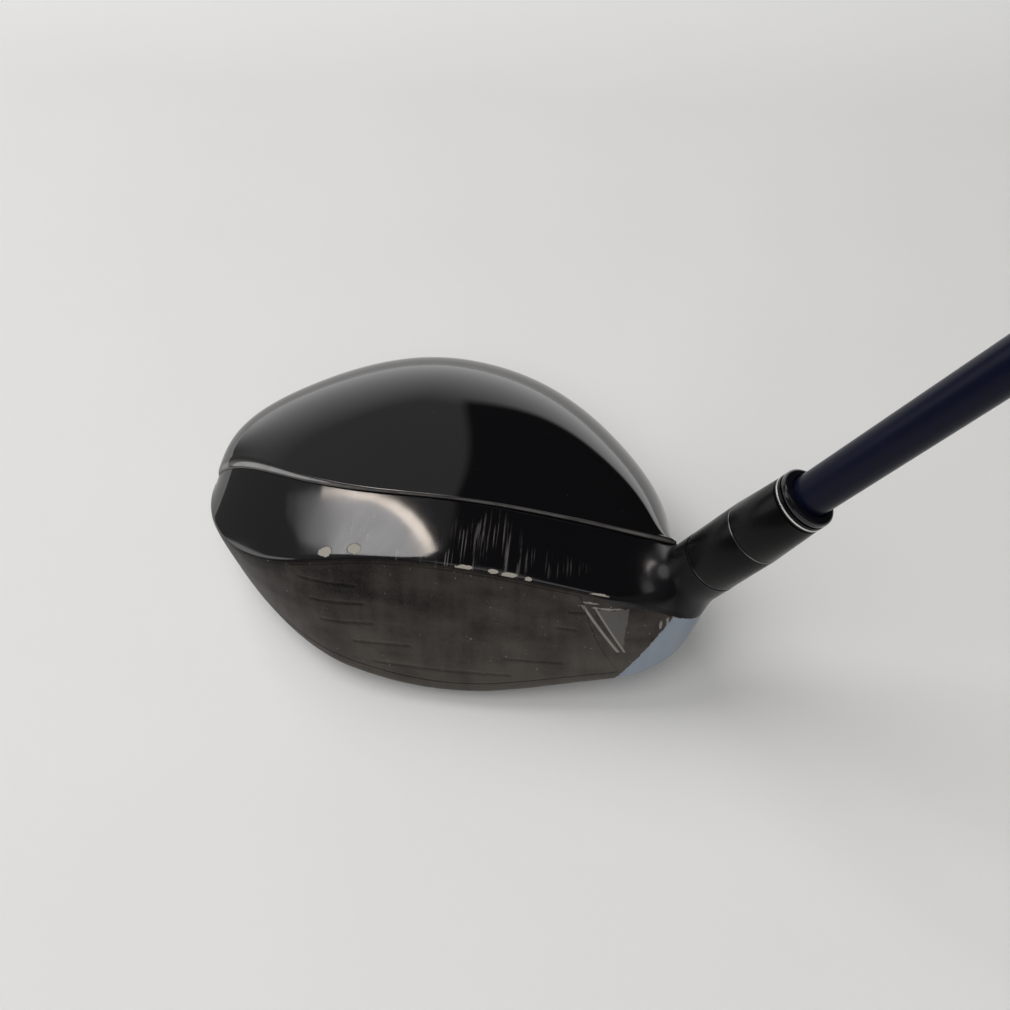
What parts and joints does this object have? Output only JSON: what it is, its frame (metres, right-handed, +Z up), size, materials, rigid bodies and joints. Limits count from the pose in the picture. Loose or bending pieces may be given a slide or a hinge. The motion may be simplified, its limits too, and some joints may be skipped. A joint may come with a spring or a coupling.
{
  "type": "hybrid golf club",
  "caption": "Right-handed hybrid golf club: hollow black head with a stepped crown and let-in face, screwed through a keyed adapter to a tapered blue shaft with a rubber grip.",
  "frame": {"origin": "point on the shaft axis inside the grip where the club is held, 0.9 m up the shaft from the ground", "axes": "+Z up with the club soled at address, +X from the toe towards the heel and the grip, -Y the way the face looks"},
  "size_m": [0.636, 0.0886, 0.8895],
  "materials": {
    "head_paint": "gloss",
    "crown_lacquer": "gloss",
    "face_steel": "blasted",
    "adapter_black": "satin",
    "trim_bright": "polished",
    "ferrule_black": "gloss",
    "shaft_blue": "gloss",
    "screw_steel": "satin",
    "weight_alloy": "satin",
    "nylon": "matte",
    "tape_paper": "matte",
    "grip_rubber": "matte"
  },
  "bodies": {
    "shaft_assembly": {"adapter_sleeve": "adapter_black", "trim_ring": "trim_bright", "ferrule": "ferrule_black", "shaft": "shaft_blue", "tip_plug": "nylon", "grip_tape": "tape_paper", "grip": "grip_rubber", "grip_cap": "grip_rubber"},
    "ring": {"adapter_ring": "adapter_black"},
    "head": {"head_body": "head_paint", "crown": "crown_lacquer", "face_plate": "face_steel", "screw_washer": "screw_steel", "screw_retainer": "nylon"},
    "screw": {"hosel_screw": "screw_steel"},
    "weight": {"sole_weight": "weight_alloy"}
  },
  "joints": [
    {"name": "adapter_back_off", "type": "slide", "parent": "shaft_assembly", "child": "ring", "axis": [-0.515, 0, -0.8572], "range_m": [0, 0.008]},
    {"name": "head_pull_off", "type": "slide", "parent": "ring", "child": "head", "axis": [-0.515, 0, -0.8572], "range_m": [0, 0.03]},
    {"name": "hosel_screw_turn", "type": "hinge", "parent": "head", "child": "screw", "pos_m": [-0.45735, 0, -0.76116], "axis": [-0.515, 0, -0.8572], "range_deg": [0, 3600]},
    {"name": "sole_weight_turn", "type": "hinge", "parent": "head", "child": "weight", "pos_m": [-0.50153, 0.046, -0.7669], "axis": [0, 0, -1], "continuous": true}
  ],
  "couplings": [
    {"joint": "hosel_screw_turn", "follows": "adapter_back_off", "rad_per_m": 7854}
  ]
}
